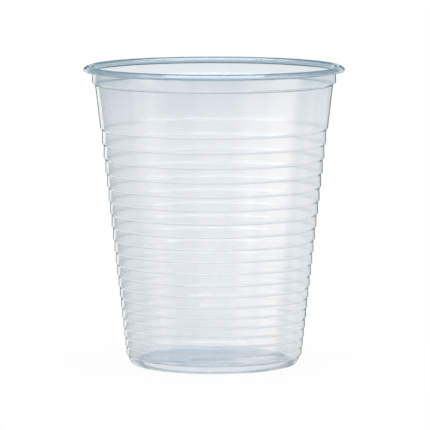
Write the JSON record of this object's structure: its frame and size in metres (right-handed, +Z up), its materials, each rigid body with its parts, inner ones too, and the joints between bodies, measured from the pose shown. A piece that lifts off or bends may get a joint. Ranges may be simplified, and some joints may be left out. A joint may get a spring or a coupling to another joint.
{
  "type": "ribbed plastic cup",
  "caption": "Clear thin-walled drinking cup with a rolled lip, a stacking shoulder and a tapering wall of stepped horizontal ribs, open at the top and raised on a foot ring.",
  "frame": {"origin": "centre of the foot ring, on the surface that the cup stands on", "axes": "+Z up the cup's axis and out of its mouth; the cup is round, so +X and +Y are any two level directions"},
  "size_m": [0.07, 0.07, 0.0804],
  "materials": {
    "clear_polypropylene": "clear, glossy, faint blue-grey tint"
  },
  "bodies": {
    "root": {"cup": "clear_polypropylene"}
  },
  "joints": []
}
